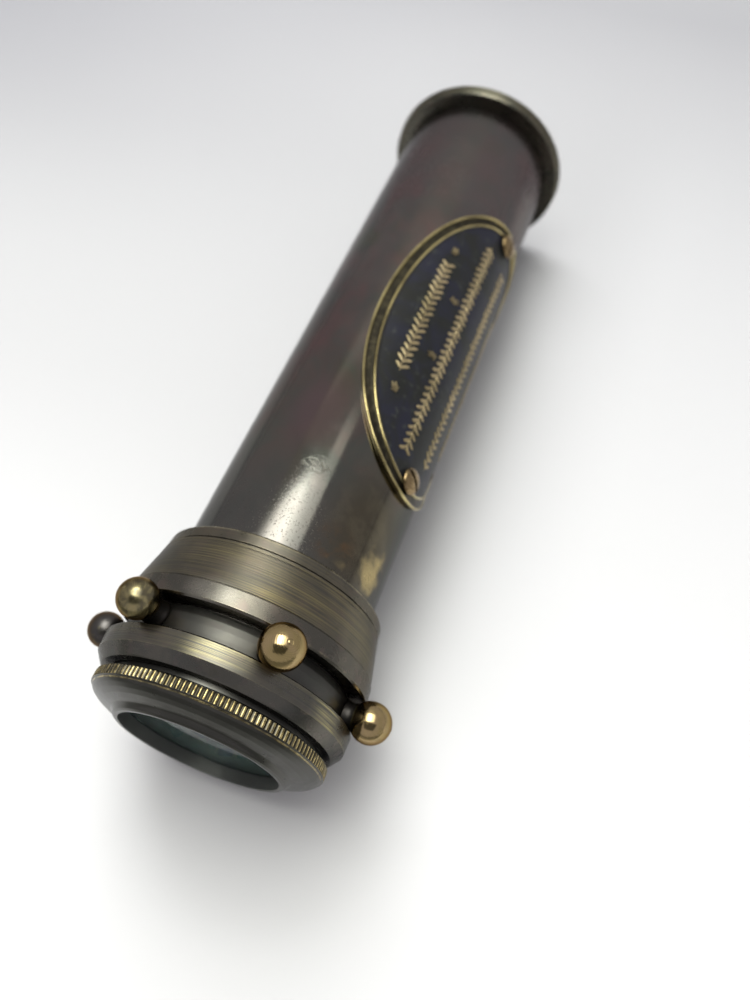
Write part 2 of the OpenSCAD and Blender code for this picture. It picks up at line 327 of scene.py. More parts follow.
    # pits, thickest by the collar, and one bitten patch on top
    pits = s.noise(scale=2900.0, rough=0.55)
    by_collar = s.ramp(s.along("Y"), over=(0.030, 0.052), to=(1.0, 0.12))
    pits = s.times(s.ramp(pits, over=(0.58, 0.72)), by_collar)
    bite = s.patch(centre=(0.0029, 0.0469, 0.0172), size=(0.0042, 0.0021, 0.0030))
    bite = s.times(bite, s.ramp(s.noise(scale=1300.0), over=(0.47, 0.58)))
    pits = s.math("MAXIMUM", pits, bite)
    colour = s.blend(colour, (0.05, 0.045, 0.035), pits, amount=0.55)

    # rougher towards the eye end
    roughness = s.ramp(s.along("Y"), over=(0.050, 0.125), to=(0.108, 0.235))
    roughness = s.jitter(roughness, smudge, amount=0.16)
    roughness = s.jitter(roughness, medium, amount=0.12)
    roughness = s.plus(roughness, bare, amount=0.16)
    roughness = s.plus(roughness, pits, amount=0.3)
    least_roughness = 0.07
    roughness = s.math("MAXIMUM", roughness, least_roughness)
    waves = s.noise(scale=150.0, place=s.scaled((1.0, 0.25, 1.0)))
    normal = s.bump(waves, strength=0.05, distance=0.0004)
    normal = s.bump(s.math("SUBTRACT", 1.0, pits), strength=0.2, distance=0.00003, normal=normal)
    normal = s.bump(fine, strength=0.08, distance=0.00004, normal=normal)
    return s.finish(Base_Color=colour, Metallic=1.0, Roughness=roughness, Normal=normal,
                    Specular_Tint=(0.57, 0.57, 0.57))


def knurled_brass():
    """Bezel: satin dark face, knurl with bright crests and dark roots, grey bore."""
    s = Shader("knurl_brass_bezel")
    wear, dirt = s.attribute("wear"), s.attribute("dirt")
    large = s.noise(scale=110.0, detail=3.0, rough=0.6, warp=0.6)
    medium = s.noise(scale=520.0, detail=3.0, rough=0.62, warp=0.3)
    lines = s.noise(rough=0.6, place=s.scaled((40.0, 3200.0, 40.0)))
    tooth = s.noise(scale=1150.0, warp=0.2)
    colour = s.mottle((0.069, 0.068, 0.062), (0.083, 0.081, 0.074), large, over=(0.36, 0.64))
    colour = s.mottle(colour, (0.078, 0.073, 0.067), medium, over=(0.50, 0.70), amount=0.4)
    crest = s.ramp(s.jitter(wear, medium, amount=0.6), over=(0.25, 0.80))
    uneven = s.plus(s.times(large, 0.4), tooth, amount=0.6)
    gold = s.mottle((0.15, 0.118, 0.052), (0.48, 0.385, 0.175), uneven, over=(0.42, 0.58))
    colour = s.blend(colour, gold, crest)
    # roots, gaps and inner corners darkened: grime and painted shade
    colour = s.mottle(colour, (0.045, 0.038, 0.022), dirt, over=(0.15, 1.0), amount=0.85)
    colour = s.blend(colour, (0.135, 0.139, 0.133), s.attribute("bore"))
    roughness = s.jitter(0.30, medium, amount=0.14)
    roughness = s.math("SUBTRACT", roughness, s.times(crest, 0.06))
    roughness = s.plus(roughness, s.attribute("bore"), amount=0.25)
    normal = s.bump(lines, strength=0.14, distance=0.00004)
    normal = s.bump(medium, strength=0.08, distance=0.0001, normal=normal)
    return s.finish(Base_Color=colour, Metallic=1.0, Roughness=roughness, Normal=normal,
                    Tangent=s.radial_tangent(), Anisotropic=0.3, Anisotropic_Rotation=0.25,
                    Specular_Tint=(0.85, 0.85, 0.85))


def ball_brass():
    """Ball pegs: each polished or darkened by its own tone."""
    s = Shader("bright_brass_pegs")
    tone, dirt, ring = map(s.attribute, ("tone", "dirt", "ring"))
    medium = s.noise(scale=600.0, detail=4.0, rough=0.62, warp=0.4)
    large = s.noise(scale=260.0, warp=0.6)
    bright = s.mottle((0.385, 0.295, 0.135), (0.43, 0.32, 0.170), large, over=(0.36, 0.64))
    olive = s.mottle((0.16, 0.14, 0.085), (0.34, 0.295, 0.16), medium, over=(0.42, 0.62))
    polish = s.jitter(tone, medium, amount=0.85)
    colour = s.mottle((0.085, 0.080, 0.078), olive, polish, over=(0.10, 0.50))
    colour = s.mottle(colour, bright, polish, over=(0.50, 0.95))
    ring_mask = s.times(ring, s.ramp(tone, over=(0.9, 0.4), to=(0.22, 0.85)))
    colour = s.blend(colour, (0.07, 0.055, 0.03), ring_mask)
    specks = s.noise(scale=1900.0, detail=1.0)
    colour = s.mottle(colour, (0.16, 0.10, 0.05), specks, over=(0.68, 0.76), amount=0.15)
    # painted shade: the ball's rim, where it turns away from the viewer, darkened to stand for dark
    # surroundings reflected there
    painted_rim_shade = s.node("ShaderNodeLayerWeight", 0.5).outputs["Facing"]
    colour = s.mottle(colour, (0.085, 0.058, 0.032), painted_rim_shade, over=(0.20, 0.80), amount=0.72)
    # neck darkened: grime and painted shade
    colour = s.blend(colour, (0.018, 0.015, 0.012), dirt, amount=0.9)
    roughness = s.ramp(tone, over=(0.0, 1.0), to=(0.34, 0.15), kind="LINEAR")
    roughness = s.jitter(roughness, medium, amount=0.12)
    roughness = s.plus(roughness, dirt, amount=0.25)
    return s.finish(Base_Color=colour, Metallic=1.0, Roughness=roughness,
                    Normal=s.bump(medium, strength=0.05, distance=0.0001),
                    Specular_Tint=(0.66, 0.55, 0.44))


def plate_field():
    """The nameplate's near-black field."""
    s = Shader("plate_field_black")
    medium = s.noise(scale=520.0, detail=4.0, rough=0.62, warp=0.4)
    large = s.noise(scale=130.0, detail=3.0, rough=0.6, warp=0.8)
    grain = s.noise(scale=2400.0, detail=3.0, rough=0.6)
    colour = s.mottle((0.013, 0.0135, 0.0125), (0.0135, 0.014, 0.023), large, over=(0.40, 0.62))
    colour = s.mottle(colour, (0.050, 0.055, 0.045), medium, over=(0.56, 0.72), amount=0.5)
    colour = s.blend(colour, (0.010, 0.009, 0.007), s.attribute("dirt"), amount=0.8)
    return s.finish(Base_Color=colour, Metallic=0.2, Specular_IOR_Level=0.20,
                    Roughness=s.jitter(0.40, medium, amount=0.25),
                    Normal=s.bump(grain, strength=0.35, distance=0.00006))


def gold(name, dark, light, rough):
    s = Shader(name)
    medium = s.noise(scale=700.0, detail=4.0, rough=0.62, warp=0.3)
    large = s.noise(scale=90.0, warp=0.5)
    colour = s.mottle(dark, light, large, over=(0.36, 0.62))
    colour = s.mottle(colour, shade(dark, 0.35), medium, over=(0.56, 0.72), amount=0.55)
    colour = s.blend(colour, (0.025, 0.020, 0.010), s.attribute("dirt"), amount=0.85)
    return s.finish(Base_Color=colour, Metallic=1.0,
                    Roughness=s.jitter(rough, medium, amount=0.18),
                    Normal=s.bump(medium, strength=0.10, distance=0.00008))


def plate_channel():
    """The dark olive channel between the plate's border lines."""
    s = Shader("plate_channel_dark")
    medium = s.noise(scale=620.0, detail=3.0, rough=0.6, warp=0.3)
    colour = s.mottle((0.022, 0.019, 0.013), (0.050, 0.043, 0.026), medium, over=(0.42, 0.66))
    return s.finish(Base_Color=colour, Metallic=0.9, Roughness=0.42,
                    Normal=s.bump(medium, strength=0.12, distance=0.0001))


def screw_brass():
    s = Shader("screw_copper_brass")
    medium = s.noise(scale=900.0, detail=3.0, rough=0.6, warp=0.3)
    colour = s.mottle((0.28, 0.200, 0.105), (0.20, 0.145, 0.072), medium, over=(0.40, 0.66))
    colour = s.blend(colour, (0.03, 0.02, 0.013), s.attribute("dirt"), amount=0.85)
    return s.finish(Base_Color=colour, Metallic=1.0,
                    Roughness=s.jitter(0.28, medium, amount=0.2),
                    Normal=s.bump(medium, strength=0.10, distance=0.0001))


def plain_brass():
    s = Shader("plain_brass_machined")
    lines = s.noise(rough=0.6, place=s.scaled((30.0, 3000.0, 30.0)))
    medium = s.noise(scale=500.0, detail=3.0, rough=0.6, warp=0.3)
    colour = s.mottle((0.50, 0.385, 0.18), (0.64, 0.50, 0.25), lines, over=(0.40, 0.62))
    colour = s.mottle(colour, (0.30, 0.22, 0.11), medium, over=(0.5, 0.7), amount=0.4)
    return s.finish(Base_Color=colour, Metallic=1.0, Roughness=0.28,
                    Normal=s.bump(lines, strength=0.2, distance=0.00004))


def glass(name, tint, ior=1.5, haze=0.0):
    """Clear glass with a little dust; haze lowers the transmission in clouds."""
    s = Shader(name)
    dust = s.noise(scale=900.0, detail=3.0, rough=0.6, warp=0.2)
    base_roughness = 0.0
    roughness = s.math("ADD", base_roughness, s.ramp(dust, over=(0.60, 0.80), to=(0.0, 0.06)))
    transmission = 1.0
    if haze:
        cloud = s.noise(scale=160.0, detail=3.0, rough=0.6, warp=0.5)
        clear_to_hazy = (1.0 - 0.6 * haze, 1.0 - 1.4 * haze)
        transmission = s.ramp(cloud, over=(0.30, 0.70), to=clear_to_hazy)
    return s.finish(Base_Color=tint, Roughness=roughness, IOR=ior,
                    Transmission_Weight=transmission)


def gem(name, tint):
    s = Shader(name)
    swirl = s.noise(scale=900.0, detail=3.0, rough=0.6, warp=1.5)
    lighter = tuple(min(1.0, x * 1.25 + 0.06) for x in tint)
    return s.finish(Base_Color=s.mottle(tint, lighter, swirl, over=(0.38, 0.66)),
                    Roughness=s.ramp(swirl, over=(0.3, 0.7), to=(0.02, 0.10)),
                    IOR=1.52, Transmission_Weight=0.85)


def mirror():
    s = Shader("mirror_silvered")
    dust = s.noise(scale=500.0, detail=3.0, rough=0.6)
    return s.finish(Base_Color=(0.86, 0.89, 0.90), Metallic=1.0,
                    Roughness=s.ramp(dust, over=(0.55, 0.8), to=(0.015, 0.06)))


def card(name, colour=(0.020, 0.019, 0.018), rough=0.85):
    s = Shader(name)
    fibre = s.noise(scale=1500.0, detail=4.0, rough=0.7, place=s.scaled((1.0, 1.0, 1.0)))
    return s.finish(
        Base_Color=s.mottle(shade(colour, 0.6), shade(colour, 1.8), fibre, over=(0.35, 0.68)),
        Roughness=rough, Normal=s.bump(fibre, strength=0.4, distance=0.0002))


def pale_floor():
    """A pale floor whose grey changes by place round the object: painted light and shade."""
    s = Shader("studio_floor_pale")
    cloud = s.noise(scale=9.0)
    y = s.along("Y")
    x = s.along("X")
    # painted light: lighter towards the window end, darker further off
    colour = s.blend((0.284, 0.284, 0.302), (0.62, 0.62, 0.632),
                     s.ramp(y, over=(0.27, 0.00), kind="LINEAR"))
    # painted shade along and beside the tube
    painted_shade_beside = s.times(s.ramp(y, over=(0.00, 0.09)), s.ramp(y, over=(0.25, 0.16)),
                     s.ramp(x, over=(0.055, 0.022)))
    colour = s.blend(colour, (0.20, 0.20, 0.21), painted_shade_beside, amount=0.22)
    # painted shade in the two far corners, +X and then -X
    for x_range, grey in (((0.05, 0.24), (0.31, 0.31, 0.33)),
                          ((-0.02, -0.20), (0.268, 0.268, 0.288))):
        corner = s.times(s.ramp(x, over=x_range), s.ramp(y, over=(0.10, 0.25)))
        colour = s.blend(colour, grey, corner)
    distance = s.vector("LENGTH", s.place)
    colour = s.mottle(colour, (0.95, 0.95, 0.96), distance, over=(0.42, 1.1))
    cloud_start, cloud_strength = 0.4, 0.25
    cloud = s.math("SUBTRACT", cloud, cloud_start)
    cloud = s.math("MULTIPLY", cloud, cloud_strength, clamp=True)
    colour = s.blend(colour, (0.45, 0.45, 0.46), cloud)
    return s.finish(Base_Color=colour, Roughness=0.9, Specular_IOR_Level=0.15)


# --------------------------------------------------------------------------
# Mesh helpers
# --------------------------------------------------------------------------
def make_mesh(name, verts, faces, attributes=None):
    """A mesh from points in millimetres, with named values at its points."""
    mesh = bpy.data.meshes.new(name)
    mesh.from_pydata([tuple(c * MM for c in v) for v in verts], [], faces)
    for key, values in (attributes or {}).items():
        layer = mesh.attributes.new(key, "FLOAT", "POINT")
        layer.data.foreach_set("value", [float(x) for x in values])
    return mesh


def link_object(name, data):
    ob = bpy.data.objects.new(name, data)
    bpy.context.scene.collection.objects.link(ob)
    return ob


def new_object(name, verts, faces, attributes=None, smooth=True, merge=0.0, face_materials=None):
    mesh = make_mesh(name, verts, faces, attributes)
    if face_materials is not None:
        mesh.polygons.foreach_set("material_index", face_materials)
    bm = bmesh.new()
    bm.from_mesh(mesh)
    if merge:
        bmesh.ops.remove_doubles(bm, verts=bm.verts, dist=merge * MM)
    bmesh.ops.recalc_face_normals(bm, faces=bm.faces)
    bm.to_mesh(mesh)
    bm.free()
    mesh.polygons.foreach_set("use_smooth", [smooth] * len(mesh.polygons))
    mesh.update()
    return link_object(name, mesh)


def spun_faces(segments, count, base=0, closed=False):
    """Quads of an outline of count points repeated round an axis."""
    faces = []
    for i in range(segments):
        a = base + i * count
        b = base + ((i + 1) % segments) * count
        for j in range(count if closed else count - 1):
            k = (j + 1) % count
            faces.append((a + j, a + k, b + k, b + j))
    return faces


def ring_faces(a, b, count):
    """Quads between two rings that start at vertices a and b."""
    pairs = [(i, (i + 1) % count) for i in range(count)]
    return [(a + i, a + j, b + j, b + i) for i, j in pairs]


def outward(angle):
    """Unit vector square to the tube's axis."""
    return Vector((math.sin(angle), 0, math.cos(angle)))


# A corner of a turned outline: radius, place on the axis, fillet, edge wear, and darkening (grime
# and painted shade); then, for the run that follows it, brushing, grooves as (pitch, depth), and
# knurl or matte.
Corner = namedtuple("Corner", "radius y fillet wear dirt brush grooves knurl",
                    defaults=(0.0, 0.0, 0.0, None, 0.0))

# distance from a corner along a run, share of the corner's wear and darkening (grime and painted
# shade) left there
FADE = ((0.05, 0.75), (0.16, 0.35), (0.40, 0.0))


def fillet_points(before, corner, after, steps):
    point = Vector((corner.radius, corner.y))
    a = Vector((before.radius, before.y)) - point
    b = Vector((after.radius, after.y)) - point
    length_a, length_b = a.length, b.length
    a.normalize()
    b.normalize()
    angle = math.acos(max(-1, min(1, a.dot(b))))
    if corner.fillet <= 0 or angle > math.radians(177):
        return [point]
    setback = min(corner.fillet / math.tan(angle / 2), length_a * 0.42, length_b * 0.42)
    radius = setback * math.tan(angle / 2)
    centre = point + (a + b).normalized() * (radius / math.sin(angle / 2))
    start, end = point + a * setback - centre, point + b * setback - centre
    sweep = start.angle_signed(end)
    points = []
    for j in range(steps + 1):
        turn = -sweep * j / steps
        c, s = math.cos(turn), math.sin(turn)
        points.append(centre + Vector((start.x * c - start.y * s, start.x * s + start.y * c)))
    return points


def run_stations(corner, following, length, rng):
    """(distance, wear, grime and painted shade, height) along the straight run after a corner."""
    fades = [row for row in FADE if row[0] < length * 0.45]
    stations = [(d, corner.wear * k, corner.dirt * k, 0.0) for d, k in fades]
    if corner.grooves:
        pitch, depth = corner.grooves
        d = 0.45
        while d < length - 0.5:
            cut = depth * (0.25 + 0.75 * rng.random())
            stations += [(d, 0.0, 0.0, 0.0),
                         (d + pitch * 0.30, 0.0, 0.10, -cut),
                         (d + pitch * 0.45, 0.0, 0.10, -cut * 0.9),
                         (d + pitch * 0.62, 0.08, 0.0, 0.0)]
            d += pitch * (0.75 + 0.6 * rng.random())
    elif length > 3.0:
        count = int(length / 3.0)
        evenly = [length * (j + 1) / (count + 1) for j in range(count)]
        stations += [(d, 0.0, 0.0, 0.0) for d in evenly if 0.42 < d < length - 0.42]
    stations += [(length - d, following.wear * k, following.dirt * k, 0.0)
                 for d, k in reversed(fades)]
    return stations


def profile(corners, seed, fillet_steps):
    """Filleted outline as (radius, y, wear, grime and painted shade, brush, knurl) points."""
    rng = random.Random(seed)
    after = corners[1:] + corners[:1]
    before = corners[-1:] + corners[:-1]
    area = sum(c.radius * n.y - n.radius * c.y for c, n in zip(corners, after))
    side = 1.0 if area > 0 else -1.0
    fillets = [fillet_points(*trio, fillet_steps) for trio in zip(before, corners, after)]
    points = []
    for i, c in enumerate(corners):
        last, fillet = before[i], fillets[i]
        single = len(fillet) == 1
        for j, p in enumerate(fillet):
            f = 0.5 if single else j / (len(fillet) - 1)
            brush = last.brush * (1 - f) + c.brush * f
            knurl = min(last.knurl, c.knurl) if single else last.knurl * (1 - f) + c.knurl * f
            points.append((p.x, p.y, c.wear, c.dirt, brush, knurl))
        start, end = fillet[-1], fillets[(i + 1) % len(corners)][0]
        length = (end - start).length
        if length < 1e-6:
            continue
        along = (end - start) / length
        normal = Vector((along.y, -along.x)) * side
        for distance, wear, dirt, height in run_stations(c, after[i], length, rng):
            p = start + along * distance + normal * height
            points.append((p.x, p.y, wear, dirt, c.brush, c.knurl))
    return points


# wave: heights across one tooth; depth in mm; tooth_heights: one factor for each tooth
Knurl = namedtuple("Knurl", "wave depth tooth_heights")


def lathe(name, corners, segments=288, seed=1, knurl=None, fillet_steps=4, brushed=None):
    """Solid of revolution about +Y; brushed(degrees) scales the brushing round it."""
    outline = profile(corners, seed, fillet_steps)
    verts = []
    wears, dirt_and_shade_values, brushes, knurls, bores = [], [], [], [], []
    for i in range(segments):
        angle = 2 * math.pi * i / segments
        degrees = (math.degrees(angle) + 180) % 360 - 180
        s, c = math.sin(angle), math.cos(angle)
        if knurl:
            tooth, step = divmod(i, len(knurl.wave))
            height = knurl.wave[step] * knurl.tooth_heights[tooth]
        for r, y, wear, dirt, brush, k in outline:
            if knurl and k > 0:
                # knurl crests take wear; the roots take grime and painted shade
                r = r - knurl.depth * k * (1 - height)
                wear = max(wear, k * height ** 1.6)
                dirt = max(dirt, k * (1 - height))
            verts.append((r * s, y, r * c))
            wears.append(wear)
            dirt_and_shade_values.append(dirt)
            brushes.append(brush * (brushed(degrees) if brushed else 1.0))
            knurls.append(k)
            bores.append(r < BORE_RADIUS + 0.04)
    attributes = {"wear": wears, "dirt": dirt_and_shade_values, "brush": brushes}
    if knurl:
        attributes.update(knurl=knurls, bore=bores)
    else:
        attributes["matte"] = knurls
    faces = spun_faces(segments, len(outline), closed=True)
    return new_object(name, verts, faces, attributes)


def finish_piece(ob, materials, body, slot, *replaced):
    for material in materials:
        ob.data.materials.append(material)
    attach(ob, body)
    if replaced:
        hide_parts(*replaced)


# --------------------------------------------------------------------------
# Turned parts
# --------------------------------------------------------------------------
def hill(degrees, centre, half_width):
    """A flat-topped hill round the axis, 1 at its centre."""
    offset = (degrees - centre + 180) % 360 - 180
    return math.exp(-(offset / half_width) ** 4)


def collar_brushing(degrees):
    return (0.34 + 0.48 * hill(degrees, 12, 34) + 0.3 * hill(degrees, -120, 40)
            + 0.3 * hill(degrees, 150, 30))


def drum_brushing(degrees):
    hills = ((10, 15), (62, 8), (-105, 20), (160, 25))  # centre, half width
    return 0.22 + 0.78 * max(hill(degrees, *row) for row in hills)


COLLAR_BRASS = turned_brass(
    "aged_brass_collar", patina=(0.122, 0.115, 0.099), brushed=(0.36, 0.30, 0.14),
    brushed_rough=0.47,
    # painted highlight on the top of the collar's band, widening its highlight
    painted_highlight=((-0.0020, 0.0180, 0.0219), (0.0055, 0.0030, 0.0050)))  # centre, half sizes
DRUM_BRASS = turned_brass("aged_brass_drum", brushed=(0.40, 0.355, 0.175), brushed_rough=0.38,
                          anisotropy=0.72)
CAP_BRASS = turned_brass("aged_brass_cap", patina=(0.112, 0.108, 0.090), worn=(0.42, 0.40, 0.24),
                         brushed=(0.28, 0.265, 0.15), rough=0.28)
TUBE_BRASS = tube_patina()
BEZEL_BRASS = knurled_brass()
BALL_BRASS = ball_brass()
PLAIN_BRASS = plain_brass()


def body_tube():
    inner = TUBE_RADIUS - TUBE_WALL
    start, end = 23.02, 151.96
    return lathe("body_tube_shell", [
        Corner(inner, start, 0.1),
        Corner(TUBE_RADIUS, start, 0.12, wear=0.5),
        Corner(TUBE_RADIUS, end, 0.1),
        Corner(inner, end, 0.1)])


def collar():
    return lathe("collar_turned", [
        # gaps, grooves and inside darkened: grime and painted shade
        # rim facing the drum
        Corner(19.06, 16.2, 0.08, dirt=0.6),
        Corner(21.80, 16.2, 0.10, wear=0.1),
        Corner(22.13, 16.52, 0.22, wear=0.5),
        Corner(21.95, 19.42, 0.05, wear=0.6),
        Corner(21.72, 19.55, 0.03, dirt=0.5),
        Corner(21.72, 19.63, 0.03, dirt=0.5),
        # brushed cone
        Corner(21.80, 19.72, 0.05, wear=0.55, brush=1.0, grooves=(0.42, 0.02)),
        Corner(20.24, 26.95, 0.03, wear=0.35, brush=0.6),
        Corner(20.12, 27.05, 0.03, dirt=0.4, brush=0.6),
        Corner(20.18, 27.15, 0.03, wear=0.35, brush=1.0),
        Corner(20.13, 27.62, 0.05, wear=0.7),
        Corner(19.83, 27.70, 0.03, dirt=0.75),
        Corner(19.83, 27.86, 0.03, dirt=0.75),
        # lip round the tube
        Corner(19.99, 27.98, 0.05, wear=0.55, brush=0.25),
        Corner(19.84, 29.72, 0.10, wear=0.8),
        Corner(19.62, 30.0, 0.12, wear=0.9),
        Corner(19.0, 30.0, 0.0),
        # inside
        Corner(17.53, 30.0, 0.05, dirt=1.0),
        Corner(17.53, 22.5, 0.05),
        Corner(19.06, 22.5, 0.05)], seed=7, brushed=collar_brushing)


def drum():
    return lathe("drum_turned", [
        # inside and the gap next to the collar darkened: grime and painted shade
        Corner(18.32, 6.2, 0.06, dirt=0.9),
        Corner(20.02, 6.2, 0.12, wear=0.25),
        Corner(20.25, 6.42, 0.10, wear=0.35),
        Corner(21.34, 7.82, 0.06, wear=0.5),
        # brushed band
        Corner(21.50, 8.0, 0.06, wear=0.55, brush=1.0, grooves=(0.36, 0.016)),
        Corner(21.65, 10.86, 0.12, wear=0.6),
        Corner(21.45, 11.08, 0.08, wear=0.2),
        # matte neck that carries the pegs, its colour darkened partly as painted shade from the pegs
        Corner(19.95, 11.16, 0.30, dirt=0.15, knurl=1.0),
        Corner(19.30, 11.45, 0.30, dirt=0.5, knurl=1.0),
        Corner(19.46, 12.3, 0.9, knurl=1.0),
        Corner(19.58, 13.5, 1.4, knurl=1.0),
        Corner(19.46, 14.7, 1.0, knurl=1.0),
        Corner(19.16, 15.70, 0.10, dirt=0.8, knurl=1.0),
        Corner(19.05, 15.88, 0.05, dirt=1.0),
        Corner(18.90, 15.9, 0.05, dirt=1.0),
        # sleeve and inside
        Corner(18.90, 22.2, 0.05),
        Corner(17.05, 22.2, 0.05),
        Corner(17.05, 11.2, 0.05),
        Corner(15.62, 11.2, 0.05),
        Corner(15.62, 10.32, 0.05),
        Corner(18.32, 10.32, 0.05)], seed=11, brushed=drum_brushing)


def bezel():
    teeth = 148
    rng = random.Random(21)
    knurl = Knurl(wave=[0.0, 0.45, 0.92, 1.0, 0.78, 0.25], depth=0.28,
                  tooth_heights=[rng.uniform(0.80, 1.0) for _ in range(teeth)])
    return lathe("knurled_bezel_ring", [
        # front face, from the bore outwards
        Corner(BORE_RADIUS, 0.0, 0.10, wear=0.30),
        Corner(14.42, 0.0, 0.35, wear=0.05),
        Corner(14.86, 0.22, 0.35),
        Corner(15.15, 0.62, 0.30),
        Corner(15.50, 0.98, 0.55),
        Corner(16.40, 1.20, 1.2),
        Corner(17.50, 1.52, 1.6),
        Corner(18.55, 1.96, 1.6),
        Corner(19.30, 2.42, 1.0),
        Corner(19.72, 2.86, 0.12, wear=0.55),
        # knurled band
        Corner(19.76, 3.0, 0.02, wear=0.5),
        Corner(20.06, 3.22, 0.06, knurl=1.0),
        Corner(20.10, 3.55, 0.3, knurl=1.0),
        Corner(20.10, 4.45, 0.3, knurl=1.0),
        Corner(20.05, 4.80, 0.06),
        Corner(19.80, 5.04, 0.04, wear=0.4),
        # the gap behind the knurl and the inside darkened: grime and painted shade
        Corner(19.55, 5.12, 0.04, dirt=0.6),
        # sleeve and inside
        Corner(18.22, 5.12, 0.05, dirt=1.0),
        Corner(18.22, 8.5, 0.05, dirt=0.6),
        Corner(18.0, 8.7, 0.05),
        Corner(16.92, 8.7, 0.05),
        Corner(16.92, 2.3, 0.05, dirt=0.6),
        Corner(BORE_RADIUS, 2.3, 0.05, dirt=1.0)],
        segments=teeth * len(knurl.wave), knurl=knurl, fillet_steps=3)


def eye_cap():
    return lathe("eye_cap_turned", [
        # eye hole and its dished surround
        Corner(5.0, 150.42, 0.08, wear=0.2),
        Corner(5.0, 153.02, 0.15, wear=0.7),
        Corner(8.95, 154.74, 0.25, wear=0.1, brush=0.5),
        # grooved end face
        Corner(9.35, 154.92, 0.15, wear=0.6, brush=1.0, grooves=(0.55, 0.02)),
        Corner(19.0, 154.92, 0.05, dirt=0.35),
        Corner(19.1, 154.86, 0.03, dirt=0.8),
        Corner(19.25, 154.86, 0.03, dirt=0.8),
        Corner(19.35, 154.92, 0.05, wear=0.4),
        # rim
        Corner(20.15, 154.92, 0.20, wear=0.5),
        Corner(20.60, 154.50, 0.25, wear=0.75, brush=0.8),
        Corner(20.36, 152.40, 0.12, wear=0.65),
        # painted shade: the rim's face towards the window end, darkened more towards the tube
        Corner(20.08, 152.03, 0.10, wear=0.2, dirt=0.3),
        Corner(19.30, 152.03, 0.02, dirt=0.65),
        Corner(17.54, 152.03, 0.05, dirt=0.9),
        # plug inside the tube
        Corner(16.47, 152.03, 0.05, dirt=1.0),
        Corner(16.47, 144.02, 0.1),
        Corner(12.22, 144.02, 0.1),
        Corner(12.22, 150.42, 0.05, dirt=0.8)], seed=9)


finish_piece(body_tube(), [TUBE_BRASS], "barrel", "dark_brass", "body_tube")
finish_piece(collar(), [COLLAR_BRASS], "barrel", "aged_brass", "collar")
finish_piece(drum(), [DRUM_BRASS], "object_drum", "aged_brass", "drum")
finish_piece(bezel(), [BEZEL_BRASS], "bezel", "knurl_brass", "knurled_bezel")
finish_piece(eye_cap(), [CAP_BRASS], "barrel", "aged_brass", "eye_cap")


# --------------------------------------------------------------------------
# Ball pegs
# --------------------------------------------------------------------------
def peg_outline():
    """(distance from the tube's axis, radius, grime and painted shade, ring) from foot to outer
    pole.
    """
    # the neck darkened: grime and painted shade where it sits between the ball and the drum
    points = [
        (16.25, 0.0, 0, 0), (16.25, 1.22, 0, 0), (19.3, 1.22, 1, 0), (19.44, 1.30, 1, 0),
        (19.48, 2.30, 1.0, 0), (19.62, 2.38, 0.8, 0), (19.90, 2.30, 0.6, 0), (20.25, 2.20, 0.5, 0),
        (20.6, 2.16, 0.5, 0), (20.95, 2.16, 0.6, 0), (21.30, 2.22, 0.8, 0)]
    neck_radius = 2.28
    start = math.pi - math.asin(neck_radius / BALL_RADIUS)
    end = 0.125
    steps = 74
    # fine rings start this many degrees from the outer pole and deepen towards it
    ring_limit, ring_pitch, ring_depth = 66, 5.2, 0.016
    for i in range(steps + 1):
        angle = start - (start - end) * i / steps
        degrees = math.degrees(angle)
        ring = 0.0
        radius = BALL_RADIUS
        if degrees < ring_limit:
            amount = max(0.0, min(1.0, (ring_limit - degrees) / 30))
            wave = 0.5 - 0.5 * math.cos(degrees / ring_pitch * 2 * math.pi)
            radius -= ring_depth * amount * wave
            ring = amount * wave ** 2
        points.append((PEG_REACH + radius * math.cos(angle), radius * math.sin(angle),
                       0.75 * max(0.0, 1 - i / 7), ring))
    # small raised button at the pole: offset from the pole, radius, grime and painted shade, ring
    pole = PEG_REACH + BALL_RADIUS
    button = ((-0.05, 0.40, 0.3, 1.0), (-0.055, 0.34, 0.3, 1.0), (-0.02, 0.30, 0, 0.1),
              (0.02, 0.22, 0, 0), (0.025, 0.10, 0, 0), (0.02, 0.0, 0, 0.2))
    return points + [(pole + offset, *rest) for offset, *rest in button]


def ball_pegs():
    outline = peg_outline()
    segments = 96
    # tone (1 is polished), size, lean in degrees; from +30 degrees on, every 60
    peg_rows = ((1.0, 1.065, -1.3), (0.92, 1.04, -0.8), (0.35, 1.0, 0.0),
                (0.22, 1.0, 0.0), (0.06, 0.95, 1.4), (0.50, 0.97, 0.8))
    sized_from, toned_from = 21.0, 21.4  # distances where a peg's own size and tone begin
    verts, faces, tones, dirt_and_shade_values, rings = [], [], [], [], []
    for k, (tone, size, lean) in enumerate(peg_rows):
        axis = outward(math.radians(30 + 60 * k + lean))
        up = Vector((0, 1, 0))
        across = axis.cross(up)
        faces += spun_faces(segments, len(outline), base=len(verts))
        for i in range(segments):
            turn = 2 * math.pi * i / segments
            spoke = up * math.cos(turn) + across * math.sin(turn)
            for distance, radius, dirt, ring in outline:
                scale = size if distance > sized_from else 1.0
                reach = PEG_REACH + (distance - PEG_REACH) * scale
                verts.append(tuple(axis * reach + spoke * radius * scale + up * PEG_Y))
                tones.append(tone if distance > toned_from else 0.0)
                dirt_and_shade_values.append(dirt)
                rings.append(ring)
    return new_object("ball_pegs_turned", verts, faces,
                      {"tone": tones, "dirt": dirt_and_shade_values, "ring": rings}, merge=0.0005)


finish_piece(ball_pegs(), [BALL_BRASS], "object_drum", "bright_brass", "ball_pegs")


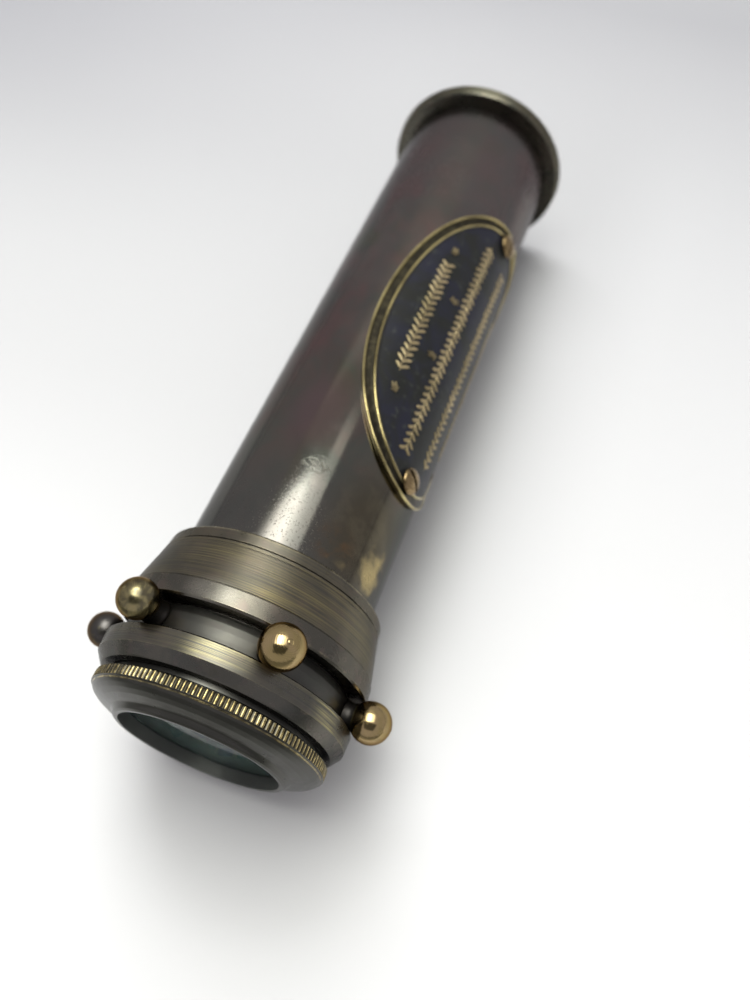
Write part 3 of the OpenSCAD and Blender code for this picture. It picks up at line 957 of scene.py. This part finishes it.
# --------------------------------------------------------------------------
# Nameplate: curved oval plate with two raised border lines and a leaf pattern
# --------------------------------------------------------------------------
def on_plate(u, v, height):
    """Point at u along the axis, v round the tube, height above the tube's surface."""
    radius = TUBE_RADIUS + height
    angle = PLATE_ANGLE + v / PLATE_ARC_RADIUS
    return (radius * math.sin(angle), PLATE_Y + u, radius * math.cos(angle))


BORDER, CHANNEL, FIELD = 0, 1, 2  # material slots of the plate
UNDERSIDE = 0.045                 # gap between the plate and the tube

# distance in from the nominal edge, height, darkening, material
PLATE_SECTION = [
    # outer border line
    (0.55, UNDERSIDE, 1, BORDER), (0.05, UNDERSIDE, 0.9, BORDER), (0.0, 0.10, 0.7, BORDER),
    (0.0, 0.72, 0.0, BORDER), (0.04, 0.90, 0, BORDER), (0.12, 1.00, 0, BORDER),
    (0.24, 1.05, 0, BORDER), (0.38, 1.04, 0, BORDER), (0.50, 0.96, 0.1, BORDER),
    (0.58, 0.82, 0.4, BORDER), (0.64, 0.66, 0.9, BORDER),
    (0.72, 0.60, 1, CHANNEL), (0.9, 0.58, 0.8, CHANNEL), (1.3, 0.57, 0.2, CHANNEL),
    (1.65, 0.57, 0.2, CHANNEL), (1.95, 0.58, 0.8, CHANNEL), (2.10, 0.62, 1, CHANNEL),
    # inner border line
    (2.16, 0.78, 0.2, BORDER), (2.22, 0.88, 0.0, BORDER), (2.34, 0.93, 0.0, BORDER),
    (2.48, 0.92, 0.0, BORDER), (2.60, 0.85, 0.0, BORDER), (2.67, 0.74, 0.4, BORDER),
    (2.73, 0.66, 1, FIELD), (2.95, 0.63, 0.7, FIELD),
] + [(inset, 0.62, 0, FIELD) for inset in
     (3.3, 4.5, 6.0, 8.0, 10.5, 13.0, 15.5, 18.0, 19.6, PLATE_HALF_WIDTH)]


def nameplate():
    count = 288
    verts, dirt_and_shade_values, faces, slots = [], [], [], []

    def add_ring(inset, height, dirt):
        for i in range(count):
            t = 2 * math.pi * i / count
            verts.append(on_plate((PLATE_HALF_LENGTH - inset) * math.cos(t),
                                  (PLATE_HALF_WIDTH - inset) * math.sin(t), height))
            dirt_and_shade_values.append(dirt)

    for inset, height, dirt, _ in PLATE_SECTION:
        add_ring(inset, height, dirt)
    for k, (here, there) in enumerate(zip(PLATE_SECTION, PLATE_SECTION[1:])):
        pair = (here[3], there[3])
        slot = BORDER if pair == (CHANNEL, BORDER) else max(pair)
        a, b = k * count, (k + 1) * count
        for i in range(count):
            j = (i + 1) % count
            faces.append((a + i, b + i, b + j, a + j))
            slots.append(slot)

    # underside: a second sheet just above the tube
    base = len(verts)
    insets = (0.55, 3.0, 8.0, 14.0, 19.0, PLATE_HALF_WIDTH)
    for inset in insets:
        add_ring(inset, UNDERSIDE, 1)
    for k in range(len(insets) - 1):
        faces += ring_faces(base + k * count, base + (k + 1) * count, count)
        slots += [BORDER] * count
    return new_object("nameplate_oval", verts, faces, {"dirt": dirt_and_shade_values}, merge=0.002,
                      face_materials=slots)


PLATE_METALS = [
    gold("plate_border_polished", dark=(0.32, 0.265, 0.130), light=(0.62, 0.52, 0.25), rough=0.16),
    plate_channel(),
    plate_field()]
finish_piece(nameplate(), PLATE_METALS, "barrel", "plate_metal", "nameplate")


class Strokes:
    """Raised strips and dots laid on the plate; places are (u, v) as in on_plate."""
    FOOT = 0.60  # height of a stroke's foot, just under the field's surface

    def __init__(self):
        self.verts, self.faces, self.dirt_and_shade_values = [], [], []

    def add_vertex(self, u, v, height, dirt):
        self.verts.append(on_plate(u, v, height))
        self.dirt_and_shade_values.append(dirt)

    def inside(self, u, v):
        margin = 3.9
        return ((u / (PLATE_HALF_LENGTH - margin)) ** 2
                + (v / (PLATE_HALF_WIDTH - margin)) ** 2 < 1.0)

    def line(self, points, half_width, top):
        """A strip along points; half_width is a function of 0..1 along it."""
        if not all(self.inside(*p) for p in points):
            return
        # share of the half width, height, darkening
        section = ((-1.0, self.FOOT, 1.0), (-0.82, top - 0.04, 0.25), (-0.4, top, 0),
                   (0.4, top, 0), (0.82, top - 0.04, 0.25), (1.0, self.FOOT, 1.0))
        last = len(points) - 1
        rows = []
        for i, (u, v) in enumerate(points):
            a, b = points[max(0, i - 1)], points[min(last, i + 1)]
            du, dv = b[0] - a[0], b[1] - a[1]
            length = math.hypot(du, dv) or 1.0
            width = max(0.02, half_width(i / last))
            first = len(self.verts)
            rows.append(range(first, first + len(section)))
            for share, height, dirt in section:
                self.add_vertex(u - dv / length * width * share,
                                v + du / length * width * share, height, dirt)
        for a, b in zip(rows, rows[1:]):
            for j in range(5):
                self.faces.append((a[j], a[j + 1], b[j + 1], b[j]))
            self.faces.append((a[5], a[0], b[0], b[5]))
        self.faces.append(tuple(rows[0]))
        self.faces.append(tuple(reversed(rows[-1])))

    def leaf(self, u, v, angle, length, half_width):
        c, s = math.cos(angle), math.sin(angle)
        steps = 12
        points = []
        for i in range(steps + 1):
            reach = length * i / steps
            bow = 0.16 * length * math.sin(math.pi * i / steps)
            points.append((u + c * reach + s * bow, v + s * reach - c * bow))
        self.line(points, lambda t: half_width * math.sin(math.pi * t) ** 0.75 + 0.04, top=0.80)

    def dot(self, u, v, radius):
        if not self.inside(u, v):
            return
        count = 14
        # share of the radius, height, darkening
        rings = ((1.0, self.FOOT, 1.0), (0.92, 0.74, 0.3), (0.65, 0.80, 0), (0.3, 0.83, 0))
        base = len(self.verts)
        for share, height, dirt in rings:
            for i in range(count):
                t = 2 * math.pi * i / count
                self.add_vertex(u + radius * share * math.cos(t),
                                v + radius * share * math.sin(t), height, dirt)
        for k in range(len(rings) - 1):
            self.faces += ring_faces(base + k * count, base + (k + 1) * count, count)
        self.faces.append(tuple(base + 3 * count + i for i in range(count)))
        self.faces.append(tuple(base + i for i in reversed(range(count))))


def laurel(strokes, v_edge, u_start, u_end, way, height):
    """A row of laurel: a thin stem, leaves on both sides, and berries; way is +1 or -1."""
    middle = v_edge - height * 0.5
    span = u_end - u_start
    count = int(span / 1.55)
    pitch = span / count
    steps = count * 6
    stem = [(u_start + span * i / steps, middle + 0.10 * math.sin(i * 0.7))
            for i in range(steps + 1)]
    strokes.line(stem, lambda t: 0.11, top=0.70)
    for i in range(count):
        offset = pitch * (i + 0.35)
        u = u_start + offset if way > 0 else u_end - offset
        for side in (-1, 1):
            length = height * 0.56 * (1.0 + 0.12 * math.sin(i * 2.1 + side))
            angle = math.radians(90 - way * 90 + side * way * 52)
            leaf_steps = 11
            points = []
            for j in range(leaf_steps + 1):
                t = j / leaf_steps
                bend = 0.20 * height * 0.5 * math.sin(math.pi * t)
                points.append((u + length * t * math.cos(angle) + way * bend,
                               middle + side * 0.08 + length * t * math.sin(angle)))
            strokes.line(points, lambda t: 0.36 * math.sin(math.pi * t) ** 0.6 + 0.04, top=0.73)
        if i % 3 == 1:
            rise = height * (0.42 if i % 2 else -0.42)
            strokes.dot(u + way * 1.05, middle + rise, 0.24)


def sprig(strokes, u, v, angle):
    """Five leaves fanned round a berry."""
    for j in range(5):
        a = angle + math.radians(-64 + 32 * j)
        strokes.leaf(u + 0.25 * math.cos(a), v + 0.25 * math.sin(a), a,
                     length=1.0 + 0.35 * (j % 2), half_width=0.22)
    strokes.dot(u, v, 0.26)


def ornament():
    strokes = Strokes()
    # v of the row's edge, u start, u end, way, height
    for row in ((-9.95, -14.8, 14.8, 1, 3.1), (-2.35, -28.2, 27.2, -1, 3.1),
                (4.75, -27.0, 26.0, 1, 3.0), (11.4, -19.0, 19.0, -1, 3.0)):
        laurel(strokes, *row)
    first_sprig = len(strokes.dirt_and_shade_values)
    # u, v, angle in degrees
    for u, v, degrees in ((-18.4, -10.4, -100), (18.6, -10.6, -80), (-6.5, -6.9, 180),
                          (7.0, -6.9, 0), (-22.5, 11.2, 120), (22.5, 11.2, 60)):
        sprig(strokes, u, v, math.radians(degrees))
    # the sprigs are darker than the laurel
    dirt_and_shade_values = strokes.dirt_and_shade_values
    dirt_and_shade_values[first_sprig:] = [max(0.72, d) for d in dirt_and_shade_values[first_sprig:]]
    return new_object("nameplate_ornament", strokes.verts, strokes.faces, {"dirt": dirt_and_shade_values},
                      smooth=False)


GILT = gold("plate_ornament_gilt", dark=(0.36, 0.29, 0.155), light=(0.52, 0.42, 0.24), rough=0.42)
finish_piece(ornament(), [GILT], "barrel", "plate_metal")


# --------------------------------------------------------------------------
# Nameplate screws: slotted domes
# --------------------------------------------------------------------------
SCREW_OFFSET = 32.2  # along the axis, either side of the plate's centre
SCREW_SEAT = TUBE_RADIUS + 0.97


def slotted_dome():
    """Mesh of one screw standing on z = 0, its slot along x."""
    head_radius, head_height, brim = 2.5, 1.15, 0.16
    segments, dome_steps = 72, 14
    # radius, z: shank and brim, then the dome
    outline = [(0.9, -1.0), (0.9, 0.0), (2.30, 0.0), (2.46, 0.05), (head_radius, brim)]
    for i in range(1, dome_steps + 1):
        t = i / dome_steps
        radius = head_radius * math.cos(t * math.pi / 2) ** 0.9 if t < 1 else 0.0
        outline.append((radius, brim + (head_height - brim) * math.sin(t * math.pi / 2)))
    verts = []
    for i in range(segments):
        turn = 2 * math.pi * i / segments
        verts += [(r * math.cos(turn), r * math.sin(turn), z) for r, z in outline]
    faces = spun_faces(segments, len(outline))
    faces.append(tuple(i * len(outline) for i in reversed(range(segments))))
    dome = new_object("screw_tmp", verts, faces, merge=0.0005)

    half_length, half_width, slot_floor, above = 3.2, 0.33, 0.62, 3.0
    box = [(x * half_length, y * half_width, z) for z in (slot_floor, above)
           for x, y in ((-1, -1), (1, -1), (1, 1), (-1, 1))]
    box_faces = [(0, 3, 2, 1), (4, 5, 6, 7), (0, 1, 5, 4), (1, 2, 6, 5), (2, 3, 7, 6), (3, 0, 4, 7)]
    cutter = new_object("cut_tmp", box, box_faces, smooth=False)
    slot = dome.modifiers.new("slot", "BOOLEAN")
    slot.operation = "DIFFERENCE"
    slot.object = cutter
    slot.solver = "EXACT"
    bevel = dome.modifiers.new("bev", "BEVEL")
    bevel.width = 0.05 * MM
    bevel.segments = 2
    bevel.limit_method = "ANGLE"
    bevel.angle_limit = math.radians(40)
    depsgraph = bpy.context.evaluated_depsgraph_get()
    mesh = bpy.data.meshes.new_from_object(dome.evaluated_get(depsgraph))
    bpy.data.objects.remove(dome)
    bpy.data.objects.remove(cutter)
    return mesh


def screw(offset, turn):
    """A slotted dome set on the plate's centre line, darkened in its slot and at its foot."""
    mesh = slotted_dome()
    dirt_and_shade_values = []
    for vertex in mesh.vertices:
        x, y, z = (c / MM for c in vertex.co)
        in_slot = abs(y) < 0.36 and z < 0.9 and math.hypot(x, y) < 2.4
        dirt_and_shade_values.append(1.0 if in_slot else 0.9 if z < 0.06 else 0.0)
    mesh.attributes.new("dirt", "FLOAT", "POINT").data.foreach_set("value", dirt_and_shade_values)

    out = outward(PLATE_ANGLE)
    along = Vector((0, 1, 0))
    axes = Matrix((along, out.cross(along), out)).transposed().to_4x4()
    seat = Vector((out.x * SCREW_SEAT, PLATE_Y + offset, out.z * SCREW_SEAT)) * MM
    mesh.transform(Matrix.Translation(seat) @ axes @ Matrix.Rotation(turn, 4, "Z"))
    return mesh


def nameplate_screws():
    bm = bmesh.new()
    for offset, degrees in ((-SCREW_OFFSET, 62), (SCREW_OFFSET, 18)):
        bm.from_mesh(screw(offset, math.radians(degrees)))
    mesh = bpy.data.meshes.new("nameplate_screws_domed")
    bm.to_mesh(mesh)
    bm.free()
    mesh.polygons.foreach_set("use_smooth", [True] * len(mesh.polygons))
    mesh.set_sharp_from_angle(angle=math.radians(35))
    return link_object("nameplate_screws_domed", mesh)


finish_piece(nameplate_screws(), [screw_brass()], "barrel", "screw_brass", "nameplate_screws")


# --------------------------------------------------------------------------
# CAD pieces that stay, with their own materials
# --------------------------------------------------------------------------
def dress(material, *names):
    for name in names:
        materials = NODES[name].data.materials
        materials.clear()
        materials.append(material)


dress(PLAIN_BRASS, "bearing_sleeve", "eye_glass_ring", "cell_spacer")
dress(mirror(), "mirror_lower", "mirror_left", "mirror_right")
dress(card("foam_black", colour=(0.022, 0.022, 0.024), rough=0.95), "foam_packing")
dress(card("card_black"), "card_sleeve", "prism_mask", "eye_mask")
dress(glass("window_glass_clear", tint=(0.32, 0.46, 0.44), ior=1.18, haze=0.06), "window_glass")
dress(glass("clear_glass_disc", tint=(0.90, 0.96, 0.95)), "rear_glass", "eye_glass")
dress(gem("red_glass_beads", tint=(0.80, 0.05, 0.08)), "beads_red")
dress(gem("amber_glass_chips", tint=(0.95, 0.50, 0.06)), "chips_amber")
dress(gem("green_glass_crystals", tint=(0.06, 0.62, 0.30)), "crystals_green")
dress(gem("blue_glass_rods", tint=(0.08, 0.22, 0.85)), "rods_blue")


# --------------------------------------------------------------------------
# Floor, light and camera
# --------------------------------------------------------------------------
def stage_floor():
    """A sloping floor: the scope rests on two ball pegs and on the rim of the eye cap."""
    peg_z = -(PEG_REACH * math.cos(math.radians(30)) + BALL_RADIUS)
    rim_y, rim_z = 154.5, -20.6
    slope = (rim_z - peg_z) / (rim_y - PEG_Y)
    half_size, clearance = 3000.0, 0.02
    verts = [(x, y, peg_z + (y - PEG_Y) * slope - clearance)
             for x in (-half_size, half_size) for y in (-half_size, half_size)]
    ob = link_object("studio_floor", make_mesh("studio_floor", verts, [(0, 2, 3, 1)]))
    ob.data.materials.append(pale_floor())


def glow(name):
    """Light given off at the strength of the mesh's "power" attribute."""
    material = bpy.data.materials.new(name)
    material.use_nodes = True
    tree = material.node_tree
    tree.nodes.clear()
    output = tree.nodes.new("ShaderNodeOutputMaterial")
    emission = tree.nodes.new("ShaderNodeEmission")
    power = tree.nodes.new("ShaderNodeAttribute")
    power.attribute_name = "power"
    emission.inputs["Color"].default_value = (0.99, 1.0, 0.93, 1)
    tree.links.new(power.outputs["Fac"], emission.inputs["Strength"])
    tree.links.new(emission.outputs[0], output.inputs[0])
    return material


def light_sheet(name, verts, faces, power, material, reflections_only=False):
    mesh = make_mesh(name, verts, faces, {"power": power})
    mesh.materials.append(material)
    ob = link_object(name, mesh)
    ob.visible_camera = False
    ob.visible_shadow = False
    ob.visible_diffuse = not reflections_only
    ob.visible_transmission = not reflections_only


PANEL_Z = 600.0
PANEL_TURN = math.radians(7.2)
PANEL_PIVOT = (222.0, 408.0)


def softbox(name, rows, z=PANEL_Z):
    """An overhead panel, turned about its pivot: rows of (y, [(x, strength), ...])."""
    pivot_x, pivot_y = PANEL_PIVOT
    c, s = math.cos(PANEL_TURN), math.sin(PANEL_TURN)
    verts, power = [], []
    for y, stations in rows:
        for x, strength in stations:
            dx, dy = x - pivot_x, y - pivot_y
            verts.append((pivot_x + dx * c - dy * s, pivot_y + dx * s + dy * c, z))
            power.append(strength)
    width = len(rows[0][1])
    faces = []
    for j in range(len(rows) - 1):
        for i in range(width - 1):
            a = j * width + i
            faces.append((a, a + width, a + width + 1, a + 1))
    material = glow(name)
    light_sheet(name, verts, faces, power, material)
    return material


def window_panels():
    """The three panels that stand for a window; returns the first one's material."""
    # x, strength
    strip = [(-350, 0.6), (-270, 2.2), (-214, 5.4), (-150, 8.6),
             (-40, 10), (30, 6.2), (110, 3.7), (222, 2.4)]
    material = softbox("window_panel", [(y, strip) for y in (-60, 150, 408)])

    edge = 0.54  # strength at the sheen's -X edge
    sheen = ((409, 0.95), (432, 0.58), (560, 0.62), (625, 0.98),
             (690, 0.80), (760, 0.56), (1000, 0.58))  # y, strength
    softbox("window_sheen", [
        (y, [(-330, edge), (-230, p), (110, edge + (p - edge) * 0.85),
             (222, edge + (p - edge) * 0.4)]) for y, p in sheen])

    edge = 0.56  # strength at the patch's -X edge
    patch = ((412, 0.25), (420, 1.5), (468, 1.3), (482, 0.0))  # y, added strength
    softbox("window_patch", [(y, [(60, edge), (104, edge + p), (222, edge + p * 0.8)])
                             for y, p in patch], z=PANEL_Z - 1)
    return material


def flags(material):
    """Level grey sheets seen only in reflections: painted reflections of the shaded floor in front
    of the scope and of a dim area above it.
    """
    # name, x range, y range, z, strength at each y
    rows = (
        ("flag_low", (-420, 420), (-33, -50), -23, (0.95, 0.46)),
        ("flag_low_mid", (-420, 420), (-50, -85), -23, (0.46, 0.25)),
        ("flag_low_far", (-420, 420), (-85, -620), -23, (0.26, 0.20)),
        ("flag_high", (-300, 560), (-125, -800), PANEL_Z, (0.10, 0.12)),
    )
    for name, (x0, x1), (y0, y1), z, (a, b) in rows:
        verts = [(x0, y0, z), (x1, y0, z), (x1, y1, z), (x0, y1, z)]
        light_sheet(name, verts, [(0, 1, 2, 3)], [a, a, b, b], material, reflections_only=True)


def key_light():
    light = bpy.data.lights.new("key_soft", "AREA")
    light.shape = "RECTANGLE"
    light.size = 0.30
    light.size_y = 0.30
    light.energy = 2.7
    light.color = (1.0, 1.0, 1.0)
    ob = link_object("key_soft", light)
    ob.location = (-0.17, 0.36, 0.51)
    aim = Vector((0.03, 0.05, 0.0)) - Vector(ob.location)
    ob.rotation_euler = aim.to_track_quat("-Z", "Y").to_euler()
    ob.visible_glossy = False
    ob.visible_camera = False


def studio_world():
    world = bpy.data.worlds.new("studio_world")
    bpy.context.scene.world = world
    world.use_nodes = True
    background = world.node_tree.nodes["Background"]
    background.inputs["Color"].default_value = (1.0, 0.978, 1.0, 1)
    background.inputs["Strength"].default_value = 0.54


def camera():
    """A camera above the window end, looking along the scope and down."""
    data = bpy.data.cameras.new("camera")
    ob = link_object("camera", data)
    data.lens = 30.64
    data.sensor_width = 36.0
    data.clip_start = 0.005
    data.clip_end = 20.0
    right = Vector((0.9379, 0.3455, -0.0337))
    back = right.cross(Vector((-0.2735, 0.7951, 0.5414))).normalized()
    up = back.cross(right).normalized()
    axes = Matrix((right, up, back)).transposed().to_4x4()
    ob.matrix_world = Matrix.Translation(Vector((44.0, -25.5, 133.4)) * MM) @ axes
    bpy.context.scene.camera = ob

    focus = bpy.data.objects.new("focus_point", None)
    focus.location = Vector((2.0, 14.0, 20.0)) * MM
    bpy.context.scene.collection.objects.link(focus)
    data.dof.use_dof = True
    data.dof.focus_object = focus
    data.dof.aperture_fstop = 14.0


stage_floor()
flags(window_panels())
key_light()
studio_world()
camera()
bpy.context.scene.view_settings.view_transform = "Standard"
bpy.context.scene.view_settings.look = "None"
